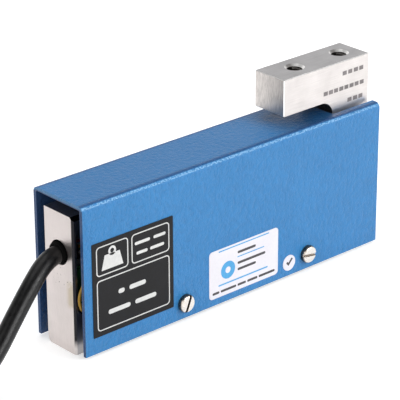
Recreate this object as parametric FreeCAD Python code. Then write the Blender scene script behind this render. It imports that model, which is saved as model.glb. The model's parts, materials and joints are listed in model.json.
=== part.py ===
import FreeCAD, Part
import math
import os

# Single point load cell: one machined, S-shaped sensing element under a folded sheet cover, with its cable.
# Millimetres. +X runs from the cable end to the bracket end, -Y is the labelled side, +Z is up.
# The origin is the middle of the cover's length and width, on the plane of the element's bottom face.

V = FreeCAD.Vector

# Cover: a folded steel channel, open at the bottom and at both ends
cover_length = 125.0
cover_width = 22.9
cover_lift = 0.95  # the element's bottom face stands this far below the cover's edge
roof_gap = 3.65  # from the block's top to the cover's ceiling
sheet = 1.2
fold_radius = 1.7  # outside of the two folds
notch_gap = 1.5  # clearance round the stem where it leaves the cover
notch_corner = 1.2

# Sensing element
bar_thickness = 13.3
block_length = 26.0
block_step = 3.25  # the block's top stands this far above the beam's
edge_chamfer = 1.2  # front long edge of the block's top
edge_break = 0.6  # vertical edge of the block's cable end
heel_radius = 1.8  # rear edge of the block's end face, at the bottom
base_height = 11.0
base_margin = 13.3  # base bar's end from the right cover screw
base_slot = 5.0  # gap between the base bar and the measuring beam
beam_height = 26.0
beam_length = 72.0
flexure = 1.5  # thinnest section above and below the window's lobes
flexure_pitch = 42.0
window_throat = 13.0  # height of the window between its lobes
end_inset = 0.8  # free end of the element from the cover's end
stem_width = 16.1
stem_fillet = 5.0
bracket_length = 38.1
bracket_height = 12.35
bracket_gap = 3.95  # from the cover's top to the bracket's underside
bracket_chamfer = 0.25

# Mounting holes, tapped M6
mount_hole = 5.0  # diameter of the tapped wall
mount_pitch = 20.0
mount_countersink = 0.8
top_hole_from_end = 7.1
base_hole_from_end = 7.9
stem_hole_depth = 15.0

# Cover screws, slotted pan heads, with tubular spacers
screw_left_inset = 39.7  # from the cover's cable end
screw_right_inset = 92.7
screw_height = 6.2
screw_diameter = 3.0
screw_length = 10.0
head_diameter = 5.8
head_height = 1.8
head_round = 0.9
slot_width = 0.9
slot_depth = 0.8
slot_angles = {"front_left": 112.0, "front_right": 8.0, "rear_left": 35.0, "rear_right": 150.0}
screw_fit = 0.05  # radial gap between a screw and its tapped hole
cover_hole_fit = 0.2  # radial gap in the cover and in the spacers
spacer_diameter = 6.2

# Labels on the front of the cover; their centres are from its cable end and its lower edge
label_thickness = 0.15
rating_label_size = (31.85, 30.95)
rating_label_centre = (19.0, 20.9)
rating_label_corner = 0.3
info_label_size = (29.65, 16.45)
info_label_centre = (64.6, 10.6)
info_label_corner = 1.3
sticker_diameter = 5.4
sticker_centre = (84.5, 4.5)

# Wiring pocket, cable hole and terminal board
pocket_wall = 1.3  # metal left between the pocket and the end face
pocket_length = 20.0
pocket_drop = 19.6  # pocket's lower end below the cable's axis
pocket_cap = 3.25  # from its upper end to the block's top
pocket_depth = 5.0
pocket_corner = 3.0
cable_height = 32.1
cable_hole = 8.0
cable_hole_depth = 19.5
board_margin = 2.0  # board's end from the pocket's end
board_height = 12.0
board_thickness = 1.0
board_rise = 1.6  # board's lower edge above the pocket's bottom
resistor_diameter = 1.7
resistor_length = 4.2
inner_wire = 0.9
core_circle = 1.6  # the conductors leave the cable on a circle of this radius

# Strain gauges, one over and one under each flexure
gauge_size = (8.0, 5.0)
gauge_thickness = 0.1
coating_size = (12.0, 10.0)
coating_thickness = 0.8
gauge_lead = 0.8

# Cable
cable_diameter = 5.7
sleeve_fit = 0.5  # radial gap between the sleeve and its hole
sleeve_reach = 1.2  # how far the sleeve stands out of the end face
tie_thickness = 0.8
tie_width = 2.6
hank_fold = 16.5  # inner turns' radius at the folds
hank_run = 57.0
lead_wire = 1.2
lead_strip = 5.0

# Derived planes and places
left = -cover_length / 2
right = cover_length / 2
side_outer = cover_width / 2
side_inner = side_outer - sheet
half_bar = bar_thickness / 2
beam_bottom = base_height + base_slot
beam_top = beam_bottom + beam_height
block_height = beam_top + block_step
cover_top = block_height + roof_gap + sheet
bracket_bottom = cover_top + bracket_gap
total_height = bracket_bottom + bracket_height
free_end = right - end_inset
stem_left = free_end - stem_width
bracket_left = free_end - bracket_length
beam_left = left + block_length
beam_middle = beam_left + beam_length / 2
beam_axis = (beam_bottom + beam_top) / 2
screw_left_x = left + screw_left_inset
screw_right_x = left + screw_right_inset
base_right = screw_right_x + base_margin
pocket_left = left + pocket_wall
pocket_right = pocket_left + pocket_length
pocket_bottom = cable_height - pocket_drop
pocket_top = block_height - pocket_cap
pocket_floor = pocket_depth - half_bar
board_length = pocket_length - pocket_corner - board_margin
sleeve_diameter = cable_hole - 2 * sleeve_fit


def box(x, y, z):
    """Box between the low and high values of x, y and z."""
    return Part.makeBox(x[1] - x[0], y[1] - y[0], z[1] - z[0], V(x[0], y[0], z[0]))


def rod(radius, start, end):
    """Cylinder from start to end."""
    axis = V(*end) - V(*start)
    return Part.makeCylinder(radius, axis.Length, V(*start), axis)


def plate(points, y):
    """Flat outline in XZ, extruded between two values of y."""
    corners = [V(px, y[0], pz) for px, pz in points]
    face = Part.Face(Part.makePolygon(corners + corners[:1]))
    return face.extrude(V(0, y[1] - y[0], 0))


def edges_at(shape, direction, places):
    """Straight edges along a direction whose middle lies on one of the lines given by the other two coordinates."""
    keep = {"x": (1, 2), "y": (0, 2), "z": (0, 1)}[direction]
    along = {"x": V(1, 0, 0), "y": V(0, 1, 0), "z": V(0, 0, 1)}[direction]
    found = []
    for edge in shape.Edges:
        if edge.Curve.TypeId != "Part::GeomLine":
            continue
        if abs(edge.tangentAt(edge.FirstParameter).dot(along)) < 0.999:
            continue
        middle = edge.CenterOfMass
        spot = [middle[k] for k in keep]
        if any(abs(spot[0] - a) < 0.02 and abs(spot[1] - b) < 0.02 for a, b in places):
            found.append(edge)
    return found


def bend_route(points, spare=0.45):
    """Wire of straight runs joined by tangent arcs, with the arcs' radii."""
    nodes = [V(*p) for p in points]
    edges = []
    radii = []
    start = nodes[0]
    for before, corner, after in zip(nodes, nodes[1:], nodes[2:]):
        back = before - corner
        ahead = after - corner
        reach = spare * min(back.Length, ahead.Length)
        turn = math.pi - back.getAngle(ahead)
        radius = reach / math.tan(turn / 2)
        back.normalize()
        ahead.normalize()
        enter = corner + back * reach
        leave = corner + ahead * reach
        inward = (back + ahead).normalize()
        crest = corner + inward * (radius / math.cos(turn / 2) - radius)
        edges.append(Part.LineSegment(start, enter).toShape())
        edges.append(Part.Arc(enter, crest, leave).toShape())
        radii.append(radius)
        start = leave
    edges.append(Part.LineSegment(start, nodes[-1]).toShape())
    return Part.Wire(edges), radii


def tube(points, diameter):
    """Round solid along a route, with its length and the radii of its arcs."""
    path, radii = bend_route(points)
    first = path.Edges[0]
    ring = Part.Circle(V(*points[0]), first.tangentAt(first.FirstParameter), diameter / 2)
    section = Part.Wire([ring.toShape()])
    solid = path.makePipeShell([section], True, False)
    return solid, path.Length, radii


def cover_spot(inset, rise):
    """Place in XZ on the cover's side, from its cable end and its lower edge."""
    return (left + inset, cover_lift + rise)


def rounded_slab(size, corner, at, y):
    """Upright slab with rounded corners, centred on at in XZ, between two values of y."""
    half_w = size[0] / 2
    half_h = size[1] / 2
    slab = box((at[0] - half_w, at[0] + half_w), y, (at[1] - half_h, at[1] + half_h))
    spots = [(at[0] + i * half_w, at[1] + j * half_h) for i in (-1, 1) for j in (-1, 1)]
    return slab.makeFillet(corner, edges_at(slab, "y", spots))


def stadium(radius, run, centre, z):
    """Upright prism of a stadium outline: a run along X between two half circles."""
    cx, cy = centre
    height = z[1] - z[0]
    body = box((cx - run, cx), (cy - radius, cy + radius), z)
    for end in (cx - run, cx):
        body = body.fuse(Part.makeCylinder(radius, height, V(end, cy, z[0])))
    return body.removeSplitter()


def make_cover():
    """Folded channel with the stem's notch and the screw holes."""
    inner_radius = max(fold_radius - sheet, 0.1)
    z = (cover_lift, cover_top)
    shell = box((left, right), (-side_outer, side_outer), z)
    folds = edges_at(shell, "x", [(-side_outer, cover_top), (side_outer, cover_top)])
    shell = shell.makeFillet(fold_radius, folds)
    hollow = box((left, right), (-side_inner, side_inner), (cover_lift, cover_top - sheet))
    ceiling = [(-side_inner, cover_top - sheet), (side_inner, cover_top - sheet)]
    hollow = hollow.makeFillet(inner_radius, edges_at(hollow, "x", ceiling))
    shell = shell.cut(hollow)
    notch_half = half_bar + notch_gap
    notch_left = stem_left - notch_gap
    notch = box((notch_left, right), (-notch_half, notch_half), (cover_top - 2 * sheet, cover_top + sheet))
    notch = notch.makeFillet(notch_corner, edges_at(notch, "z", [(notch_left, -notch_half), (notch_left, notch_half)]))
    shell = shell.cut(notch)
    hole_radius = screw_diameter / 2 + cover_hole_fit
    for x in (screw_left_x, screw_right_x):
        shell = shell.cut(rod(hole_radius, (x, -side_outer - 1, screw_height), (x, side_outer + 1, screw_height)))
    return shell


def tapped_hole(x, mouth_z, depth, down):
    """Cutter of a tapped M6 hole with its countersink; down is -1 from a top face and 1 from a bottom face."""
    radius = mount_hole / 2
    wide = radius + mount_countersink
    cutter = rod(radius, (x, 0, mouth_z), (x, 0, mouth_z + down * depth))
    cone = Part.makeCone(wide, radius, mount_countersink, V(x, 0, mouth_z), V(0, 0, down))
    return cutter.fuse(cone)


def make_element():
    """One bar of aluminium: base bar, block, measuring beam with its window, stem and hooked bracket."""
    slot_radius = base_slot / 2
    slot_left = beam_left - slot_radius
    outline = [
        (left, 0),
        (base_right, 0),
        (base_right, base_height),
        (slot_left, base_height),
        (slot_left, beam_bottom),
        (free_end, beam_bottom),
        (free_end, total_height),
        (bracket_left, total_height),
        (bracket_left, bracket_bottom),
        (stem_left, bracket_bottom),
        (stem_left, beam_top),
        (beam_left, beam_top),
        (beam_left, block_height),
        (left, block_height),
    ]
    bar = plate(outline, (-half_bar, half_bar))
    hook_round = min(stem_fillet, 0.45 * (bracket_bottom - beam_top))
    bar = bar.makeFillet(hook_round, edges_at(bar, "y", [(stem_left, bracket_bottom), (stem_left, beam_top)]))
    bar = bar.makeFillet(slot_radius - 0.01, edges_at(bar, "y", [(slot_left, base_height), (slot_left, beam_bottom)]))

    lobe_radius = beam_height / 2 - flexure
    window = box(
        (beam_middle - flexure_pitch / 2, beam_middle + flexure_pitch / 2),
        (-half_bar, half_bar),
        (beam_axis - window_throat / 2, beam_axis + window_throat / 2),
    )
    for side in (-1, 1):
        x = beam_middle + side * flexure_pitch / 2
        window = window.fuse(rod(lobe_radius, (x, -half_bar, beam_axis), (x, half_bar, beam_axis)))
    bar = bar.cut(window)

    for n in (0, 1):
        top_x = free_end - top_hole_from_end - n * mount_pitch
        top_depth = stem_hole_depth if n == 0 else bracket_height
        bar = bar.cut(tapped_hole(top_x, total_height, top_depth, -1))
        base_x = left + base_hole_from_end + n * mount_pitch
        bar = bar.cut(tapped_hole(base_x, 0, base_height, 1))

    tap_radius = screw_diameter / 2 + screw_fit
    for x in (screw_left_x, screw_right_x):
        bar = bar.cut(rod(tap_radius, (x, -half_bar, screw_height), (x, half_bar, screw_height)))

    pocket = box((pocket_left, pocket_right), (-half_bar, pocket_floor), (pocket_bottom, pocket_top))
    spots = [(x, z) for x in (pocket_left, pocket_right) for z in (pocket_bottom, pocket_top)]
    pocket = pocket.makeFillet(pocket_corner, edges_at(pocket, "y", spots))
    bar = bar.cut(pocket)
    bar = bar.cut(rod(cable_hole / 2, (left, 0, cable_height), (left + cable_hole_depth, 0, cable_height)))

    bar = bar.makeChamfer(edge_chamfer, edges_at(bar, "x", [(-half_bar, block_height)]))
    bar = bar.makeChamfer(edge_break, [e for e in edges_at(bar, "z", [(left, -half_bar)]) if e.Length > edge_break])
    bar = bar.makeFillet(heel_radius, edges_at(bar, "x", [(half_bar, 0)]))
    rim = edges_at(bar, "x", [(-half_bar, total_height), (half_bar, total_height)])
    rim += edges_at(bar, "y", [(bracket_left, total_height), (free_end, total_height)])
    rim += edges_at(bar, "y", [(bracket_left, bracket_bottom)])
    rim += edges_at(bar, "z", [(bracket_left, -half_bar), (bracket_left, half_bar)])
    return bar.makeChamfer(bracket_chamfer, rim)


def make_screw(x, side, slot_angle):
    """Slotted pan-head screw through the cover and its spacer into the base bar; side is -1 at the front."""
    seat = side * side_outer
    crown = seat + side * head_height
    head = rod(head_diameter / 2, (x, seat, screw_height), (x, crown, screw_height))
    rims = [e for e in head.Edges if abs(e.CenterOfMass.y - crown) < 0.01 and e.Curve.TypeId == "Part::GeomCircle"]
    head = head.makeFillet(head_round, rims)
    reach = head_diameter / 2 + 1
    slot_y = sorted((crown - side * slot_depth, crown + side))
    slot = box((x - reach, x + reach), slot_y, (screw_height - slot_width / 2, screw_height + slot_width / 2))
    slot.rotate(V(x, 0, screw_height), V(0, 1, 0), slot_angle)
    head = head.cut(slot)
    tip = seat - side * screw_length
    return head.fuse(rod(screw_diameter / 2, (x, seat, screw_height), (x, tip, screw_height))).removeSplitter()


def make_spacer(x, side):
    """Tube that holds the cover's side off the base bar."""
    near = (x, side * half_bar, screw_height)
    far = (x, side * side_inner, screw_height)
    return rod(spacer_diameter / 2, near, far).cut(rod(screw_diameter / 2 + cover_hole_fit, near, far))


def make_sleeve(cable):
    """Short rubber sleeve round the cable, in and in front of the hole."""
    inner_end = route[0]
    outer_end = (left - sleeve_reach, 0, cable_height)
    body = rod(sleeve_diameter / 2, inner_end, outer_end)
    lip = [e for e in body.Edges if abs(e.CenterOfMass.x - outer_end[0]) < 0.01 and len(e.Vertexes) == 1]
    body = body.makeFillet((sleeve_diameter - cable_diameter) / 4, lip)
    return body.cut(cable)


def make_hank():
    """Outer shape of the put-away turns: two columns and two layers, open where the cable comes in and ends."""
    outer = hank_fold + 1.5 * cable_diameter
    inner = hank_fold - 0.5 * cable_diameter
    z = (tie_thickness, tie_thickness + 2 * cable_diameter)
    ring = stadium(outer, hank_run, hank_centre, z).cut(stadium(inner, hank_run, hank_centre, z))
    flat = [e for e in ring.Edges if abs(e.CenterOfMass.z - z[0]) < 0.01 or abs(e.CenterOfMass.z - z[1]) < 0.01]
    ring = ring.makeFillet(hank_corner, flat)
    cx, cy = hank_centre
    middle = tie_thickness + cable_diameter
    column = hank_fold + cable_diameter / 2
    entry = box((cx, cx + outer), (cy - outer - 1, cy - outer / 2), (middle, z[1] + 1))
    entry = entry.cut(Part.makeCylinder(column, z[1] + 2, V(cx, cy, 0)))
    tail = box((tail_x, cx + cable_diameter * 2), (cy + column, cy + outer + 1), (z[0] - 1, middle))
    return ring.cut(entry).cut(tail)


def make_tie():
    """Cable tie round the rear run of the hank: strap, lock head and the cut tail of the strap."""
    width = 2 * cable_diameter
    near = hank_centre[1] + hank_fold - cable_diameter / 2
    x = (tie_x - tie_width / 2, tie_x + tie_width / 2)
    y = (near, near + width)
    z = (tie_thickness, tie_thickness + width)
    hole = box(x, y, z)
    hole = hole.makeFillet(hank_corner, edges_at(hole, "x", [(a, b) for a in y for b in z]))
    grow = tie_thickness
    y_out = (y[0] - grow, y[1] + grow)
    z_out = (z[0] - grow, z[1] + grow)
    strap = box(x, y_out, z_out)
    strap = strap.makeFillet(hank_corner + grow, edges_at(strap, "x", [(a, b) for a in y_out for b in z_out]))
    strap = strap.cut(hole)
    head_size = 1.7 * tie_width
    head_y = (near + width / 2 - head_size / 2, near + width / 2 + head_size / 2)
    head_top = z_out[1] + 1.2 * tie_width
    head = box((tie_x - head_size / 2, tie_x + head_size / 2), head_y, (z_out[1], head_top))
    head = head.makeFillet(0.5, head.Edges)
    tail_y = (head_y[0] + head_size / 3, head_y[0] + head_size / 3 + tie_thickness)
    tail = box(x, tail_y, (z_out[1] + 1, head_top + 2 * tie_width))
    return strap.fuse(head).fuse(tail).removeSplitter()


# The cable's route, from its end in the hole to the first turn of the hank
hank_centre = (left - 56.5, 6.5)
hank_corner = cable_diameter / 2 - 0.05
tie_x = hank_centre[0] - hank_run / 2
tail_x = tie_x + 8.0
hank_high = tie_thickness + 1.5 * cable_diameter
hank_front = hank_centre[1] - hank_fold - cable_diameter
route = [
    (left + 4.8, 0, cable_height),
    (left - 1.7, 0, cable_height),
    (left - 7.9, -1.2, cable_height - 1.9),
    (left - 16.3, -3.9, cable_height - 8.1),
    (left - 23.9, -7.2, 19.5),
    (left - 32.3, -10.7, 13.8),
    (left - 40.7, -13.8, 10.4),
    (left - 48.7, hank_front, hank_high),
    (hank_centre[0], hank_front, hank_high),
]

parts = {}
parts["sensing_element"] = make_element()
parts["cover"] = make_cover()

# Fasteners
for end, x in (("left", screw_left_x), ("right", screw_right_x)):
    for face, side in (("front", -1), ("rear", 1)):
        parts[f"screw_{face}_{end}"] = make_screw(x, side, slot_angles[f"{face}_{end}"])
        parts[f"spacer_{face}_{end}"] = make_spacer(x, side)

# Labels
front_skin = (-side_outer - label_thickness, -side_outer)
rating_at = cover_spot(*rating_label_centre)
info_at = cover_spot(*info_label_centre)
sticker_x, sticker_z = cover_spot(*sticker_centre)
parts["rating_label"] = rounded_slab(rating_label_size, rating_label_corner, rating_at, front_skin)
parts["info_label"] = rounded_slab(info_label_size, info_label_corner, info_at, front_skin)
parts["inspection_sticker"] = rod(
    sticker_diameter / 2, (sticker_x, front_skin[0], sticker_z), (sticker_x, front_skin[1], sticker_z)
)

# Strain gauges under their coatings
for end, side in (("left", -1), ("right", 1)):
    x = beam_middle + side * flexure_pitch / 2
    for face, seat, out in (("top", beam_top, 1), ("bottom", beam_bottom, -1)):
        half = [gauge_size[0] / 2, gauge_size[1] / 2]
        pad = [coating_size[0] / 2, coating_size[1] / 2]
        gauge_z = sorted((seat, seat + out * gauge_thickness))
        pad_z = sorted((seat, seat + out * coating_thickness))
        gauge = box((x - half[0], x + half[0]), (-half[1], half[1]), gauge_z)
        coat = box((x - pad[0], x + pad[0]), (-pad[1], pad[1]), pad_z)
        corners = [(x + i * pad[0], j * pad[1]) for i in (-1, 1) for j in (-1, 1)]
        coat = coat.makeFillet(1.5, edges_at(coat, "z", corners))
        parts[f"gauge_{face}_{end}"] = gauge
        parts[f"gauge_coating_{face}_{end}"] = coat.cut(gauge)

# Terminal board with its two resistors, glued to the pocket's floor
board_left = pocket_left + pocket_corner
board_low = pocket_bottom + board_rise
board_front = pocket_floor - board_thickness
parts["terminal_board"] = box(
    (board_left, board_left + board_length), (board_front, pocket_floor), (board_low, board_low + board_height)
)
for n in (0, 1):
    z = board_low + 2.2 + n * 3.0
    x = board_left + board_length - 2 - resistor_length
    y = board_front - resistor_diameter / 2
    parts[f"balance_resistor_{n + 1}"] = rod(resistor_diameter / 2, (x, y, z), (x + resistor_length, y, z))

# Conductors from the cable's end, along the hole and down to the board
jacket_end = route[0][0]
pad_z = board_low + board_height - 1.5
hover = board_front - 1.5
colours = ["red", "black", "green", "white"]
for n, colour in enumerate(colours):
    angle = math.radians(90 - 72 * n)
    y = core_circle * math.cos(angle)
    z = cable_height + core_circle * math.sin(angle)
    pad_x = board_left + board_length - 3.2 - 2.4 * n
    way = [
        (jacket_end, y, z),
        (pad_x - 2.5, y, z),
        (pad_x, hover, z - 3.0),
        (pad_x, hover, pad_z),
        (pad_x, board_front, pad_z),
    ]
    parts[f"conductor_{colour}"] = tube(way, inner_wire)[0]

# The yellow conductor bulges out of the pocket, into the gap behind the cover's side
bulge = -(half_bar + side_inner) / 2
yellow_pad_z = board_low + 1.2
angle = math.radians(162)
start_y = core_circle * math.cos(angle)
start_z = cable_height + core_circle * math.sin(angle)
way = [
    (jacket_end, start_y, start_z),
    (jacket_end + 2.8, start_y, start_z),
    (jacket_end + 4.0, start_y - 3.0, start_z - 1.6),
    (jacket_end + 2.4, bulge + 1.6, start_z - 5.2),
    (left + 2.8, bulge + 0.4, cable_height - 7.9),
    (left + 0.1, bulge, cable_height - 12.4),
    (left + 1.1, bulge, yellow_pad_z + 0.2),
    (left + 3.9, bulge + 2.2, yellow_pad_z - 1.5),
    (board_left + 1.5, hover, yellow_pad_z),
    (board_left + 1.5, board_front, yellow_pad_z),
]
parts["conductor_yellow"] = tube(way, inner_wire)[0]

# Gauge leads, along the beam, over the block's side and into the pocket
lead_y = -half_bar - gauge_lead
coating_left = beam_middle - flexure_pitch / 2 - coating_size[0] / 2
lead_pad_x = board_left + board_length - 1.0
for face, seat, out, pad in (("top", beam_top, 1, board_height - 4.0), ("bottom", beam_bottom, -1, 5.0)):
    lie = seat + out * gauge_lead / 2
    land = board_low + pad
    side_z = land + 0.45 * (lie - land)
    way = [
        (coating_left, -2.0, lie),
        (coating_left - 3.5, -2.0, lie),
        (coating_left - 6.0, lead_y - 0.3, lie + out * 0.6),
        (coating_left - 9.0, lead_y, side_z + 0.5 * (lie - side_z)),
        (pocket_right + 0.9, lead_y, side_z),
        (pocket_right - 2.0, lead_y + 0.6, 0.5 * (land + side_z)),
        (lead_pad_x, hover - 0.6, land + 1.2 * out),
        (lead_pad_x, hover, land),
        (lead_pad_x, board_front, land),
    ]
    parts[f"gauge_lead_{face}"] = tube(way, gauge_lead)[0]

# Cable, its hank and what is on it
parts["cable"], cable_length, cable_radii = tube(route, cable_diameter)
parts["cable_sleeve"] = make_sleeve(parts["cable"])
parts["cable_hank"] = make_hank()
parts["cable_tie"] = make_tie()

# Stripped leads at the cable's end, fanned out on the surface
tail_y = hank_centre[1] + hank_fold + cable_diameter
tail_z = tie_thickness + cable_diameter / 2
tips = []
for n, colour in enumerate(colours):
    y = tail_y + 0.95 * (n - 1.5)
    z = tail_z - 0.6 + 1.0 * (n % 2)
    rest_z = lead_wire / 2 + 0.02
    way = [
        (tail_x, y, z),
        (tail_x + 5.0, y, z),
        (tail_x + 11.0, tail_y + 1.36 * (n - 1.5), rest_z),
        (tail_x + 17.0 + n % 2, tail_y + 1.4 * (n - 1.5), rest_z),
    ]
    parts[f"lead_{colour}"] = tube(way, lead_wire)[0]
    last = V(*way[-1])
    heading = (last - V(*way[-2])).normalize()
    tips.append(rod(lead_wire / 3, tuple(last), tuple(last + heading * lead_strip)))
parts["tinned_ends"] = Part.makeCompound(tips)

section_area = math.pi * cable_diameter**2 / 4
print("cable radii:", " ".join(f"{r:.1f}" for r in cable_radii))
print(f"cable tube: length {cable_length:.2f}, volume over section and length "
      f"{parts['cable'].Volume / (section_area * cable_length):.4f}")

os.makedirs("parts", exist_ok=True)
for name, shape in parts.items():
    shape.exportStep(f"parts/{name}.step")
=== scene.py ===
import json
import math
import random

import bmesh
import bpy
from mathutils import Matrix, Vector


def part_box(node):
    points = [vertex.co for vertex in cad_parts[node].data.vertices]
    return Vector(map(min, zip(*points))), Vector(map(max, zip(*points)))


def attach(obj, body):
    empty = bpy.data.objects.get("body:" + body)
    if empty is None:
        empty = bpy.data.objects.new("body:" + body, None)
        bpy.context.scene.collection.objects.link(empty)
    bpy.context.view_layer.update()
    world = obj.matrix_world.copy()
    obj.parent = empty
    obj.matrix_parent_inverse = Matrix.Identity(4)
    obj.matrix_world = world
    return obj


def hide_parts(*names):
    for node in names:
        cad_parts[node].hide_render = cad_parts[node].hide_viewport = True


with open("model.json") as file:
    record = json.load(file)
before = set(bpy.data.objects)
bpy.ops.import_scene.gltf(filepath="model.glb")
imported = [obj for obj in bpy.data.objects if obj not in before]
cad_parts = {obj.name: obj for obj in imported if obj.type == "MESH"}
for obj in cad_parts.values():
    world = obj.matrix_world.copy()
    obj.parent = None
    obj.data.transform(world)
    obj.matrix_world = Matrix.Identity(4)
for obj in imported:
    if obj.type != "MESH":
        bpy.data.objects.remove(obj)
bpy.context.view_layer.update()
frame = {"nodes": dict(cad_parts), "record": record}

# Lengths are in millimetres, and MM turns them into the frame's metres
MM = 0.001
SHEET = 1.2  # the cover's thickness
HOLE_PAIR = 44.6  # middle of each pair of tapped holes, from the middle of the cover
HOLE_PITCH = 20.0
HOLE_RADIUS = 2.5
HOLE_CHAMFER = 0.8
nodes = frame["nodes"]
cover_low, cover_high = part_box("cover")
element_low, element_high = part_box("sensing_element")
rng = random.Random(7)


# Camera
camera_azimuth = math.radians(-41.894)
camera_elevation = math.radians(23.857)
camera_roll = math.radians(-0.263)
camera_place = Vector((-417.65, -458.76, 304.79)) * MM
camera_lens = 193.53

back = Vector(
    (
        math.sin(camera_azimuth) * math.cos(camera_elevation),
        -math.cos(camera_azimuth) * math.cos(camera_elevation),
        math.sin(camera_elevation),
    )
)
right = (-back).cross(Vector((0, 0, 1))).normalized()
up = right.cross(-back)
turned_right = math.cos(camera_roll) * right + math.sin(camera_roll) * up
turned_up = math.cos(camera_roll) * up - math.sin(camera_roll) * right
turned = Matrix((turned_right, turned_up, back)).transposed()
camera = bpy.data.objects.new("camera", bpy.data.cameras.new("camera"))
camera.data.lens = camera_lens
camera.data.clip_start = 10 * MM
camera.matrix_world = Matrix.Translation(camera_place) @ turned.to_4x4()
bpy.context.scene.collection.objects.link(camera)
bpy.context.scene.camera = camera


# Node graphs
def linear(red, green, blue):
    """Linear colour, with full alpha, of an sRGB one given as 0 to 255."""
    values = [c / 255 for c in (red, green, blue)]
    return [c / 12.92 if c <= 0.04045 else ((c + 0.055) / 1.055) ** 2.4 for c in values] + [1.0]


class Tree:
    """A node tree, with a short call for each kind of node. Values are other nodes' sockets or constants."""

    def __init__(self, tree):
        self.tree = tree

    def node(self, kind, inputs=None, **settings):
        made = self.tree.nodes.new(kind)
        for key, value in settings.items():
            setattr(made, key, value)
        for key, value in (inputs or {}).items():
            self.feed(made.inputs[key], value)
        return made

    def feed(self, socket, value):
        if isinstance(value, bpy.types.NodeSocket):
            self.tree.links.new(value, socket)
        else:
            socket.default_value = value

    def math(self, operation, a, b=0.0):
        return self.node("ShaderNodeMath", {0: a, 1: b}, operation=operation).outputs[0]

    def times(self, a, b):
        return self.math("MULTIPLY", a, b)

    def spread(self, value, low, high, to_low=0.0, to_high=1.0):
        """Value between low and high, laid between two others and held at them outside."""
        settings = {"Value": value, "From Min": low, "From Max": high, "To Min": to_low, "To Max": to_high}
        return self.node("ShaderNodeMapRange", settings).outputs[0]

    def band(self, value, low, high, soft):
        """1 between low and high, fading to 0 over soft outside them."""
        rise = self.spread(value, low - soft, low)
        return self.times(rise, self.spread(value, high, high + soft, 1.0, 0.0))

    def mix(self, amount, a, b):
        """Number that goes from a to b."""
        return self.node("ShaderNodeMix", {0: amount, 2: a, 3: b}).outputs[0]

    def blend(self, amount, a, b):
        """Colour that goes from a to b."""
        return self.node("ShaderNodeMix", {0: amount, 6: a, 7: b}, data_type="RGBA").outputs[2]

    def axis(self, vector, name):
        """One component of a vector."""
        return self.node("ShaderNodeSeparateXYZ", {0: vector}).outputs[name]


class Graph(Tree):
    """A material's nodes around its Principled shader."""

    def __init__(self, name, **sockets):
        self.material = bpy.data.materials.new(name)
        self.material.use_nodes = True
        super().__init__(self.material.node_tree)
        self.shader = self.tree.nodes["Principled BSDF"]
        for socket, value in sockets.items():
            self.shader.inputs[socket.replace("_", " ")].default_value = value
        self.place = self.node("ShaderNodeTexCoord").outputs["Object"]

    def noise(self, per_mm, detail=2.0, stretch=(1, 1, 1), rough=0.5):
        """Noise with that many cells to a millimetre, drawn out along an axis where stretch is below 1."""
        place = self.node("ShaderNodeMapping", {"Vector": self.place, "Scale": stretch}).outputs[0]
        settings = {"Vector": place, "Scale": per_mm / MM, "Detail": detail, "Roughness": rough}
        return self.node("ShaderNodeTexNoise", settings).outputs[0]

    def swing(self, noise, to_low=0.0, to_high=1.0):
        """The range that most of a noise's values lie in, laid between two others."""
        return self.spread(noise, 0.3, 0.7, to_low, to_high)

    def facing(self, name):
        """How far the surface faces along an axis of the object, either way."""
        normal = self.node("ShaderNodeNewGeometry").outputs["Normal"]
        return self.math("ABSOLUTE", self.axis(normal, name))

    def bump(self, height, depth_mm, strength=1.0):
        """Normal of a relief that is so many millimetres deep."""
        inputs = {"Height": height, "Distance": depth_mm * MM, "Strength": strength}
        return self.node("ShaderNodeBump", inputs).outputs[0]

    def finish(self, colour, roughness=None, normal=None):
        """Link the results to the shader, and return the material."""
        for socket, value in (("Base Color", colour), ("Roughness", roughness), ("Normal", normal)):
            if value is not None:
                self.tree.links.new(value, self.shader.inputs[socket])
        return self.material


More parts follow.
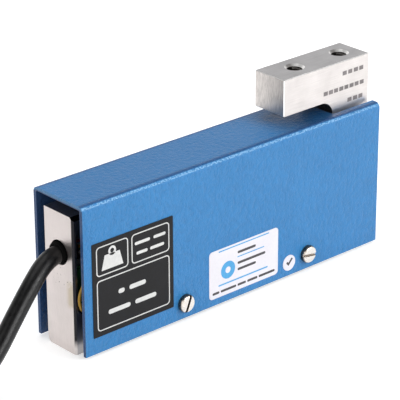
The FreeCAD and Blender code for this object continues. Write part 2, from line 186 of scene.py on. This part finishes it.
# Finishes
def blue_paint():
    """Textured enamel with dark cut edges. Painted light: shade inside the channel, on the top face and under
    the hook; a dark reflection and broken highlights along the folds; a highlight on the top's cut edge.
    """
    g = Graph("blue_paint", Specular_IOR_Level=0.34, Coat_Weight=0.12, Coat_Roughness=0.2)
    peel = g.noise(0.9, 3.0, (0.8, 0.8, 0.55), rough=0.62)
    fine = g.noise(2.6, 2.0, (0.7, 1, 0.6))
    cloud = g.noise(0.06, 2.0)
    tone = g.math("ADD", g.swing(peel, 0, 0.5), g.swing(fine, 0, 0.3))
    tone = g.math("ADD", tone, g.swing(cloud, 0, 0.2))
    colour = g.blend(tone, linear(40, 113, 170), linear(54, 133, 194))

    sideways = g.math("ABSOLUTE", g.axis(g.place, "Y"))
    height = g.axis(g.place, "Z")
    upward = g.facing("Z")
    top = g.spread(upward, 0.9, 0.99)
    # painted shade: the top face is tinted darker and bluer for how light falls on it
    colour = g.blend(g.times(top, 0.6), colour, linear(2, 98, 158))
    # painted shadow of the bracket's hook on the cover's top
    hook_painted_shadow = g.times(top, g.band(g.axis(g.place, "X"), 32 * MM, 46 * MM, 14 * MM))
    colour = g.blend(g.times(hook_painted_shadow, 0.65), colour, linear(8, 32, 66))

    # painted dark reflection along the top of each fold
    fold_painted_reflection = g.spread(sideways, cover_high.y - 2.6 * MM, cover_high.y - 1.5 * MM)
    fold_painted_reflection = g.times(fold_painted_reflection, g.spread(upward, 0.8, 0.86))
    colour = g.blend(g.times(fold_painted_reflection, 0.7), colour, linear(8, 56, 108))
    # painted highlights along the folds, broken by noise
    fold_painted_highlight = g.times(g.band(upward, 0.46, 0.72, 0.1), g.spread(fine, 0.43, 0.56))
    colour = g.blend(g.times(fold_painted_highlight, 0.6), colour, linear(150, 198, 234))

    cut = g.spread(g.facing("X"), 0.9, 0.99)
    colour = g.blend(cut, colour, linear(14, 58, 106))
    # painted highlight: the top's cut edges are lighter than the sides'
    top_cut_painted_highlight = g.times(cut, g.math("GREATER_THAN", height, cover_high.z - SHEET * MM))
    colour = g.blend(top_cut_painted_highlight, colour, linear(66, 120, 164))

    # painted shade inside the channel, changing with height
    into_wall = 0.7 * SHEET * MM
    inside = g.times(
        g.math("LESS_THAN", sideways, cover_high.y - into_wall),
        g.math("LESS_THAN", height, cover_high.z - into_wall),
    )
    inside_painted_shade = g.blend(g.spread(height, 42 * MM, 12 * MM), linear(48, 76, 118), linear(38, 76, 126))
    colour = g.blend(inside, colour, inside_painted_shade)
    texture = g.math("ADD", peel, g.times(fine, 0.5))
    return g.finish(colour, g.swing(peel, 0.3, 0.46), g.bump(texture, 0.5))


def bar_end(g, tone, upright, across, height, above):
    """Colour of the bar's ends: on the hook, dark upright marks and a darkening towards the front; on the
    block, painted shade towards the top, a stain of glue and a few specks.
    """
    colour = g.blend(tone, linear(204, 196, 193), linear(219, 210, 207))
    shadow = g.spread(height, 30 * MM, 44 * MM, 0, 0.6)
    colour = g.blend(shadow, colour, linear(196, 188, 186))
    # the hook's end grows darker towards the front
    forward = g.spread(across, element_high.y, element_low.y)
    hook = g.blend(forward, linear(222, 216, 212), linear(168, 163, 160))
    hook = g.blend(g.spread(upright, 0.36, 0.6, 0.35, 0), hook, linear(70, 66, 62))
    colour = g.blend(above, colour, hook)

    low_corner = g.times(g.spread(across, -2.6 * MM, -4.4 * MM), g.band(height, 16.5 * MM, 22.5 * MM, 2 * MM))
    stain = g.times(low_corner, g.spread(g.noise(0.3, 2.0), 0.35, 0.5))
    colour = g.blend(g.times(stain, 0.5), colour, linear(170, 154, 110))
    speck = g.times(g.spread(g.noise(1.3, 1.0), 0.72, 0.76), g.band(height, 22 * MM, 28 * MM, 2 * MM))
    return g.blend(speck, colour, linear(60, 52, 48))


def bar_holes(g, colour, across, height, above):
    """The bar's colour with its tapped holes: painted highlights on the countersinks round walls with painted
    shade.
    """
    from_pair = g.math("SUBTRACT", g.math("ABSOLUTE", g.axis(g.place, "X")), HOLE_PAIR * MM)
    from_axis = g.math("SUBTRACT", g.math("ABSOLUTE", from_pair), HOLE_PITCH / 2 * MM)
    radius = g.math("SQRT", g.math("ADD", g.math("POWER", from_axis, 2.0), g.math("POWER", across, 2.0)))
    near_face = g.math("MAXIMUM", above, g.math("LESS_THAN", height, 10.8 * MM))  # bracket and base bar
    bevel = g.times(g.math("LESS_THAN", radius, (HOLE_RADIUS + HOLE_CHAMFER + 0.1) * MM), near_face)
    bevel = g.times(bevel, g.math("LESS_THAN", g.facing("Z"), 0.9))
    # painted highlight on the countersinks, brightest where they face along X
    glint = g.blend(g.spread(g.facing("X"), 0.15, 0.5), linear(158, 155, 153), linear(254, 253, 251))
    colour = g.blend(bevel, colour, glint)
    # painted shade on the walls of the holes
    wall = g.times(g.math("LESS_THAN", radius, (HOLE_RADIUS + 0.06) * MM), near_face)
    return g.blend(wall, colour, linear(72, 69, 67))


def aluminium():
    """Milled bar: tool lines along it and finer marks on its ends. Painted shade on its sides where the cover
    hides them, on the top of the stem and bracket, and on the chamfers below the bracket; painted highlights
    on the bracket's chamfers.
    """
    g = Graph("aluminium", Metallic=1.0)
    along = g.noise(6.0, 3.0, (0.02, 1, 1))
    upright = g.noise(3.0, 4.0, (1, 1, 0.12), rough=0.7)
    ends = g.spread(g.facing("X"), 0.6, 0.8)
    line = g.mix(ends, along, upright)
    cloud = g.noise(0.15, 3.0)
    tone = g.math("ADD", g.swing(line, 0, 0.5), g.swing(cloud, 0, 0.5))
    across = g.axis(g.place, "Y")
    height = g.axis(g.place, "Z")
    above = g.math("GREATER_THAN", height, cover_high.z - 3.5 * MM)  # the stem's top and the bracket

    colour = g.blend(tone, linear(200, 195, 193), linear(224, 219, 217))
    # painted shade on the bar's sides where the cover hides them, less of it near the floor
    side_painted_shade = g.math("SUBTRACT", g.spread(g.facing("Y"), 0.6, 0.8), above)
    side_painted_shade = g.times(side_painted_shade, g.spread(height, 5 * MM, 10.5 * MM, 0.35, 0.85))
    colour = g.blend(side_painted_shade, colour, linear(128, 131, 138))
    colour = g.blend(ends, colour, bar_end(g, tone, upright, across, height, above))
    # painted shade: the top of the stem and bracket is darker than their sides
    roof_painted_shade = g.times(g.spread(g.facing("Z"), 0.93, 0.99), above)
    colour = g.blend(roof_painted_shade, colour, g.blend(tone, linear(176, 174, 175), linear(196, 194, 195)))

    edge = g.math("MAXIMUM", g.band(g.facing("Z"), 0.66, 0.75, 0.05), g.band(g.facing("X"), 0.66, 0.75, 0.05))
    # painted highlights on the chamfers of the stem and bracket
    colour = g.blend(g.times(edge, above), colour, linear(254, 253, 252))
    # painted shade on the chamfers below the bracket, clear of the lowest few millimetres
    low_edge_painted_shade = g.times(g.math("SUBTRACT", edge, above), g.spread(height, 2 * MM, 5 * MM))
    colour = g.blend(low_edge_painted_shade, colour, linear(44, 44, 47))
    colour = bar_holes(g, colour, across, height, above)
    return g.finish(colour, g.spread(tone, 0, 1, 0.4, 0.3), g.bump(line, 0.01, 0.3))


def metal(name, dark, light, rough):
    """Drawn or cut metal, with scuffs along Y."""
    g = Graph(name, Metallic=1.0)
    grain = g.noise(2.5, 3.0)
    scuff = g.noise(0.8, 2.0, (1, 0.1, 1))
    tone = g.times(g.swing(grain), g.spread(scuff, 0.2, 0.7, 0.3, 1))
    colour = g.blend(tone, linear(*dark), linear(*light))
    return g.finish(colour, g.swing(grain, rough, rough + 0.12), g.bump(scuff, 0.01, 0.3))


def screw_metal():
    """Nickel plate: bright crowns, with painted shade on the heads' sides and in the slots, and a painted
    highlight on the floor of the right screws' slots.
    """
    g = Graph("nickel_steel", Metallic=1.0)
    grain = g.noise(2.5, 3.0)
    colour = g.blend(g.swing(grain), linear(214, 205, 195), linear(244, 237, 228))
    deep = g.math("LESS_THAN", g.math("ABSOLUTE", g.axis(g.place, "Y")), cover_high.y + 1.15 * MM)
    outward = g.facing("Y")
    shade = g.math("MAXIMUM", deep, g.spread(outward, 0.75, 0.35))
    # painted shade on the heads' sides and in the slots
    colour = g.blend(g.times(shade, 0.92), colour, linear(84, 74, 66))
    slot_floor = g.times(deep, g.spread(outward, 0.9, 0.99))
    # painted highlight on the floor of the right screws' slots
    lit_slot = g.times(slot_floor, g.spread(g.axis(g.place, "X"), 10 * MM, 20 * MM, 0, 0.8))
    colour = g.blend(lit_slot, colour, linear(206, 197, 186))
    return g.finish(colour, g.swing(grain, 0.22, 0.34), g.bump(grain, 0.01, 0.2))


def plastic(name, dark, light, rough, per_mm=1.2, depth=0.02, gloss=0.5):
    """Moulded or extruded plastic, or print: a fine skin with slight variations of tone and gloss."""
    g = Graph(name, Specular_IOR_Level=gloss)
    skin = g.noise(per_mm, 3.0)
    cloud = g.noise(per_mm / 12, 2.0)
    tone = g.math("ADD", g.swing(skin, 0, 0.5), g.swing(cloud, 0, 0.5))
    colour = g.blend(tone, linear(*dark), linear(*light))
    return g.finish(colour, g.swing(skin, rough, rough + 0.15), g.bump(skin, depth, 0.5))


def foil():
    """Gauge: copper grid on an amber carrier."""
    g = Graph("gauge_foil", Roughness=0.35)
    wave = g.node("ShaderNodeTexWave", {"Vector": g.place, "Scale": 260.0}, bands_direction="Y")
    grid = g.spread(wave.outputs[1], 0.45, 0.55)
    return g.finish(g.blend(grid, linear(176, 112, 40), linear(196, 138, 104)))


def board():
    """Solder mask over a weave of glass."""
    g = Graph("board_green")
    weave = g.node("ShaderNodeTexChecker", {"Vector": g.place, "Scale": 2400.0}).outputs[1]
    cloud = g.noise(0.5, 2.0)
    colour = g.blend(g.swing(cloud), linear(22, 84, 48), linear(34, 108, 62))
    return g.finish(colour, g.spread(weave, 0, 1, 0.3, 0.36), g.bump(weave, 0.01, 0.2))


def resistor():
    """Lacquered body with colour bands across it."""
    g = Graph("resistor_body", Roughness=0.3)
    wave = g.node("ShaderNodeTexWave", {"Vector": g.place, "Scale": 180.0}, bands_direction="X")
    band = g.spread(wave.outputs[1], 0.82, 0.86)
    base = g.blend(g.noise(1.0), linear(58, 120, 150), linear(74, 138, 166))
    return g.finish(g.blend(band, base, linear(120, 62, 30)))


finishes = {
    "blue_paint": blue_paint(),
    "aluminium": aluminium(),
    "nickel_steel": screw_metal(),
    "tinned_copper": metal("tinned_copper", (170, 168, 164), (216, 214, 210), 0.25),
    "cable_black": plastic("cable_black", (3, 3, 4), (9, 9, 10), 0.27, 0.9, 0.03, 0.3),
    "sleeve_black": plastic("sleeve_black", (4, 4, 4), (9, 9, 9), 0.7, 2.0, 0.03, 0.08),
    "tie_black": plastic("tie_black", (18, 18, 19), (32, 32, 34), 0.35, 2.0, 0.02),
    "black_label": plastic("black_label", (17, 17, 18), (25, 24, 26), 0.42, 1.6, 0.006, 0.22),
    "white_label": plastic("white_label", (226, 223, 229), (235, 232, 237), 0.4, 1.2, 0.004, 0.3),
    "gauge_foil": foil(),
    "gauge_coating": plastic("gauge_coating", (206, 200, 186), (228, 223, 210), 0.25, 0.6, 0.1),
    "board_green": board(),
    "resistor_body": resistor(),
    "insulation_red": plastic("insulation_red", (112, 16, 14), (140, 26, 22), 0.4),
    "insulation_black": plastic("insulation_black", (18, 18, 20), (34, 34, 36), 0.4),
    "insulation_green": plastic("insulation_green", (20, 104, 48), (34, 132, 64), 0.4),
    "insulation_white": plastic("insulation_white", (214, 212, 206), (238, 236, 230), 0.4),
    "insulation_yellow": plastic("insulation_yellow", (150, 112, 18), (182, 142, 30), 0.4),
}

for part in frame["record"]["subparts"]:
    for material_slot in nodes[part["node"]].material_slots:
        material_slot.material = finishes[part["material_slot"]]


# Cable: one smooth line from the block, down to the floor and round the hank
cable_diameter = 5.7
hank_centre = (-119.0, 6.5)  # of the right lobe
hank_fold = 16.5  # inner turns' radius at the lobes
hank_run = 57.0  # straight stretch between the lobes
hank_low = 0.8 + cable_diameter / 2  # the tie's strap is 0.8 thick
hank_high = hank_low + cable_diameter
tail_x = -139.5
route = [
    (-57.7, 0, 32.1),
    (-63.0, 0, 32.1),
    (-69.4, -1.5, 31.2),
    (-76.5, -4.3, 27.5),
    (-86.1, -7.2, 19.9),
    (-94.8, -10.7, 13.8),
    (-103.2, -13.8, 10.4),
    (-111.2, -15.7, hank_high),
    (-119.0, -15.7, hank_high),
]

inner, outer = hank_fold, hank_fold + cable_diameter
turns = [(outer, hank_high), (inner, hank_high), (inner, hank_low), (outer, hank_low)]
# How far each of the right lobe's points has crossed from one turn to the next
crossings = [(0, 0, 0, 0, 0.25, 0.75), (0, 0, 0.25, 0.75, 1, 1), (0.25, 0.75, 1, 1, 1, 1)]
lobe_points = 6
lobe_step = math.pi / lobe_points
straight_spots = (0.09, 0.5, 0.91)  # shares of the straight stretch


def lobe_point(centre_x, start, k, radius):
    """Control point of a half turn, so far outside it that the spline lies on the turn."""
    angle = start - (k + 0.5) * lobe_step
    reach = radius / math.cos(lobe_step / 2)
    return centre_x + reach * math.cos(angle), hank_centre[1] + reach * math.sin(angle)


far_x = hank_centre[0] - hank_run
for n, (radius, height) in enumerate(turns):
    route += [(hank_centre[0] - hank_run * f, hank_centre[1] - radius, height) for f in straight_spots]
    route += [(*lobe_point(far_x, -math.pi / 2, k, radius), height) for k in range(lobe_points)]
    if n == len(turns) - 1:
        break
    route += [(far_x + hank_run * f, hank_centre[1] + radius, height) for f in straight_spots]
    next_radius, next_height = turns[n + 1]
    for k, share in enumerate(crossings[n]):
        across = radius + share * (next_radius - radius)
        level = height + share * (next_height - height)
        route.append((*lobe_point(hank_centre[0], math.pi / 2, k, across), level))
route += [(far_x + (tail_x - far_x) * f, hank_centre[1] + outer, hank_low) for f in (0.3, 0.7, 1.0)]

cable_curve = bpy.data.curves.new("cable_cord", "CURVE")
cable_curve.dimensions = "3D"
cable_curve.bevel_depth = cable_diameter / 2 * MM
cable_curve.bevel_resolution = 6
cable_curve.use_fill_caps = True
cable_curve.resolution_u = 8
spline = cable_curve.splines.new("NURBS")
spline.points.add(len(route) - 1)
for point, place in zip(spline.points, route):
    point.co = (*(c * MM for c in place), 1)
spline.order_u = 3
spline.use_endpoint_u = True
cable = bpy.data.objects.new("cable_cord", cable_curve)
bpy.context.scene.collection.objects.link(cable)
cable_curve.materials.append(finishes["cable_black"])
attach(cable, "root")
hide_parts("cable", "cable_hank")


# Pieces built from closed shapes, whose bmesh is in millimetres
def solid_piece(name, work, material):
    """Object of the closed shapes in a bmesh."""
    bmesh.ops.recalc_face_normals(work, faces=work.faces)
    bmesh.ops.scale(work, vec=Vector((MM, MM, MM)), verts=work.verts)
    mesh = bpy.data.meshes.new(name)
    work.to_mesh(mesh)
    work.free()
    mesh.materials.append(material)
    piece = bpy.data.objects.new(name, mesh)
    bpy.context.scene.collection.objects.link(piece)
    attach(piece, "root")
    return piece


def print_piece(name, build, material):
    """Thin closed prisms on the front of the object, which build adds to a bmesh."""
    work = bmesh.new()
    build(work)
    return solid_piece(name, work, material)


def ring_faces(work, one, two):
    """Quads between two loops of as many corners."""
    for i in range(len(one)):
        j = (i + 1) % len(one)
        work.faces.new((one[i], one[j], two[j], two[i]))


def prism(work, outline, y, thick=0.03, hole=None):
    """Flat shape in XZ between y and a hair in front of it. Its hole has as many corners as its outline."""
    rings = []
    for loop in [outline] + ([hole] if hole else []):
        rings.append([[work.verts.new((x, depth, z)) for x, z in loop] for depth in (y - thick, y)])
    for front, rear in rings:
        ring_faces(work, front, rear)
    for side in (0, 1):
        if hole:
            ring_faces(work, rings[0][side], rings[1][side])
        else:
            work.faces.new(rings[0][side])


def rounded(x0, x1, z0, z1, corner, steps=5):
    """Outline of a rectangle with rounded corners."""
    points = []
    for cx, cz, start in ((x1, z1, 0), (x0, z1, 90), (x0, z0, 180), (x1, z0, 270)):
        cx += corner if cx == x0 else -corner
        cz += corner if cz == z0 else -corner
        for k in range(steps + 1):
            angle = math.radians(start + 90 * k / steps)
            points.append((cx + corner * math.cos(angle), cz + corner * math.sin(angle)))
    return points


def frame_line(work, x0, x1, z0, z1, y, line=0.36, corner=1.3):
    """Thin line round a field, with rounded corners."""
    outline = rounded(x0, x1, z0, z1, corner)
    hole = rounded(x0 + line, x1 - line, z0 + line, z1 - line, corner - line)
    prism(work, outline, y, hole=hole)


def bar(work, x0, x1, z, height, y):
    """Bar with rounded ends, centred on a level."""
    prism(work, rounded(x0, x1, z - height / 2, z + height / 2, 0.45 * height, 3), y)


def disc(work, x, z, radius, y, hole_radius=0, steps=32):
    """Disc, or a ring if it has a hole."""
    spots = [(math.cos(2 * math.pi * k / steps), math.sin(2 * math.pi * k / steps)) for k in range(steps)]
    outline = [(x + radius * c, z + radius * s) for c, s in spots]
    hole = [(x + hole_radius * c, z + hole_radius * s) for c, s in spots] if hole_radius else None
    prism(work, outline, y, hole=hole)


# Print on the labels and marks on the bracket
def place_of(node):
    """A node's left, lower and front sides."""
    low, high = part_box(node)
    return low.x / MM, low.z / MM, low.y / MM


rating_x, rating_z, label_y = place_of("rating_label")
info_x, info_z, _ = place_of("info_label")
sticker_low, sticker_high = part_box("inspection_sticker")


def words(work, left, bottom, rows):
    """Greeked words on a label: each row holds a word's two ends, its level and its height."""
    for x0, x1, level, height in rows:
        bar(work, left + x0, left + x1, bottom + level, height, label_y)


def rating_print(work):
    """Three frames, a weight with its ring, and words."""
    x, z = rating_x, rating_z
    frame_line(work, x + 1.6, x + 14.0, z + 19.8, z + 29.5, label_y)
    frame_line(work, x + 15.3, x + 30.3, z + 19.8, z + 29.5, label_y)
    frame_line(work, x + 1.6, x + 30.3, z + 1.7, z + 18.5, label_y)
    weight = [(3.6, 21.4), (12.0, 21.4), (10.7, 26.2), (4.9, 26.2)]
    prism(work, [(x + a, z + b) for a, b in weight], label_y)
    disc(work, x + 7.8, z + 27.0, 1.5, label_y, 0.75)
    rows = (
        (16.6, 22.6, 26.2, 1.0),
        (24.0, 28.8, 26.2, 1.0),
        (17.2, 21.6, 22.9, 1.0),
        (22.6, 28.2, 22.9, 1.0),
        (9.9, 12.3, 12.6, 1.5),
        (14.2, 20.7, 12.6, 1.5),
        (5.9, 14.5, 7.0, 1.5),
        (16.4, 24.8, 7.0, 1.5),
    )
    words(work, x, z, rows)


def info_blue(work):
    """Rules across the label, and a plain ring."""
    words(work, info_x, info_z, ((3.9, 25.6, 15.65, 0.4), (3.8, 25.1, 3.95, 0.5), (11.9, 23.5, 11.55, 0.35)))
    disc(work, info_x + 7.9, info_z + 8.4, 3.0, label_y, 1.1)


def info_dark(work):
    """Three lines of words, and a line of small ones at the foot."""
    rows = (
        (12.0, 19.8, 13.1, 0.85),
        (12.0, 24.0, 9.4, 0.85),
        (12.0, 19.9, 7.2, 0.85),
        (1.3, 4.2, 1.75, 0.8),
        (4.8, 11.4, 1.75, 0.8),
        (12.0, 15.6, 1.75, 0.8),
        (16.2, 20.6, 1.75, 0.8),
        (21.2, 28.2, 1.75, 0.8),
    )
    words(work, info_x, info_z, rows)


def sticker_mark(work):
    """A tick."""
    centre = (sticker_low + sticker_high) / 2 / MM
    tick = [(-1.3, 0.1), (-0.8, 0.6), (-0.3, 0.1), (1.1, 1.6), (1.6, 1.1), (-0.3, -1.0)]
    prism(work, [(centre.x + a, centre.z + b) for a, b in tick], label_y)


def bracket_marks(work):
    """Three rows of plain dashes, let into the face by a third of their thickness."""
    face_y = element_low.y / MM + 0.01
    half_height = 0.7
    for count, start, pitch, level in ((4, 49.8, 2.55, 62.1), (8, 41.3, 2.36, 57.1), (3, 52.3, 2.55, 52.4)):
        low, high = level - half_height, level + half_height
        for k in range(count):
            x = start + k * pitch
            wide = 1.8 + 0.2 * rng.random()
            prism(work, [(x, low), (x + wide, low), (x + wide, high), (x, high)], face_y)


print_white = plastic("print_white", (206, 206, 204), (222, 222, 220), 0.45, 1.5, 0.004)
print_blue = plastic("print_blue", (62, 148, 206), (88, 172, 222), 0.45, 1.5, 0.004)
print_dark = plastic("print_dark", (52, 50, 54), (78, 74, 78), 0.5, 2.5, 0.004)
etch_grey = plastic("etch_grey", (96, 92, 92), (140, 134, 134), 0.6, 3.0, 0.004)
print_piece("rating_print", rating_print, print_white)
print_piece("info_print_blue", info_blue, print_blue)
print_piece("info_print_dark", info_dark, print_dark)
print_piece("sticker_mark", sticker_mark, print_dark)
print_piece("bracket_marks", bracket_marks, etch_grey)


# Threads of the tapped holes
def thread(x, low, high, pitch=1.0, steps=28):
    """Ridge that winds round the wall of a tapped hole, between two heights; its foot is in the wall."""
    work = bmesh.new()
    foot, crest = HOLE_RADIUS + 0.03, HOLE_RADIUS - 0.32
    half_foot = 0.4
    sections = []
    for k in range(int((high - low) / pitch * steps) + 1):
        angle = 2 * math.pi * k / steps
        middle = low + pitch * k / steps
        section = []
        for radius, rise in ((foot, -half_foot), (crest, 0), (foot, half_foot)):
            place = (x + radius * math.cos(angle), radius * math.sin(angle), middle + rise)
            section.append(work.verts.new(place))
        sections.append(section)
    for one, two in zip(sections, sections[1:]):
        ring_faces(work, one, two)
    work.faces.new(sections[0])
    work.faces.new(sections[-1])
    return work


# the threads' grey is darker than the bar's: painted shade
thread_metal_painted_shade = metal("thread_metal_painted_shade", (92, 89, 86), (150, 146, 142), 0.3)
loading_z = element_high.z / MM
top_span = (loading_z - 11.5, loading_z - 1.3)
base_span = (1.3, 10.0)
for end, side, span in (("top", 1, top_span), ("base", -1, base_span)):
    for number, step in ((1, -1), (2, 1)):
        x = side * HOLE_PAIR + step * HOLE_PITCH / 2
        solid_piece(f"thread_{end}_{number}", thread(x, *span), thread_metal_painted_shade)


# Floor: pale, and lit to white where it shows, so that the object's shadow stays
floor_half = 6.0  # metres
corners = [(floor_half * i, floor_half * j, 0) for i, j in ((-1, -1), (1, -1), (1, 1), (-1, 1))]
floor_mesh = bpy.data.meshes.new("floor")
floor_mesh.from_pydata(corners, [], [(0, 1, 2, 3)])
floor = bpy.data.objects.new("floor", floor_mesh)
floor.location.z = min(element_low.z, 0)
bpy.context.scene.collection.objects.link(floor)
ground = Graph("floor", Roughness=0.9, Specular_IOR_Level=0.1)
ground.finish(ground.blend(ground.noise(0.02), linear(226, 226, 226), linear(232, 232, 232)))
path = ground.node("ShaderNodeLightPath").outputs
seen = ground.math("MAXIMUM", path["Is Camera Ray"], path["Is Glossy Ray"])
seen = ground.math("MAXIMUM", seen, path["Is Transmission Ray"])
glow = ground.node("ShaderNodeEmission", {"Strength": ground.times(seen, 0.45)})
both = ground.node("ShaderNodeAddShader", {0: ground.shader.outputs[0], 1: glow.outputs[0]})
ground.tree.links.new(both.outputs[0], ground.tree.nodes["Material Output"].inputs[0])
floor_mesh.materials.append(ground.material)

# Sky: white where it is seen, a gradient that darkens upwards in reflections, and dimmer as a light
world = bpy.data.worlds.new("sky")
bpy.context.scene.world = world
world.use_nodes = True
sky = Tree(world.node_tree)
path = sky.node("ShaderNodeLightPath").outputs
direction = sky.node("ShaderNodeTexCoord").outputs["Generated"]
gradient = sky.spread(sky.axis(direction, "Z"), 0.3, 0.75, 1.0, 0.15)
strength = sky.mix(path["Is Glossy Ray"], 0.55, gradient)
strength = sky.mix(path["Is Transmission Ray"], strength, 1.0)
strength = sky.mix(path["Is Camera Ray"], strength, 1.0)
background = sky.tree.nodes["Background"]
sky.feed(background.inputs["Strength"], strength)
background.inputs["Color"].default_value = (1, 1, 1, 1)


# Lamps, in metres and watts, each turned to the origin
def lamp(name, place, size, watts):
    """Rectangular area lamp."""
    light = bpy.data.lights.new(name, "AREA")
    light.shape = "RECTANGLE"
    light.size, light.size_y = size
    light.energy = watts
    made = bpy.data.objects.new(name, light)
    made.location = place
    made.rotation_mode = "QUATERNION"
    made.rotation_quaternion = (-Vector(place)).to_track_quat("-Z", "Y")
    bpy.context.scene.collection.objects.link(made)


lamp("lamp_front", (0.35, -1.1, 0.7), (0.9, 0.6), 8.6)
lamp("lamp_left", (-1.1, -0.2, 0.6), (0.6, 0.6), 4)
lamp("lamp_top", (0.1, 0.3, 1.3), (1.0, 1.0), 4.5)
lamp("lamp_right", (0.73, -0.83, 0.42), (0.5, 0.12), 2)

bpy.context.scene.view_settings.view_transform = "Standard"
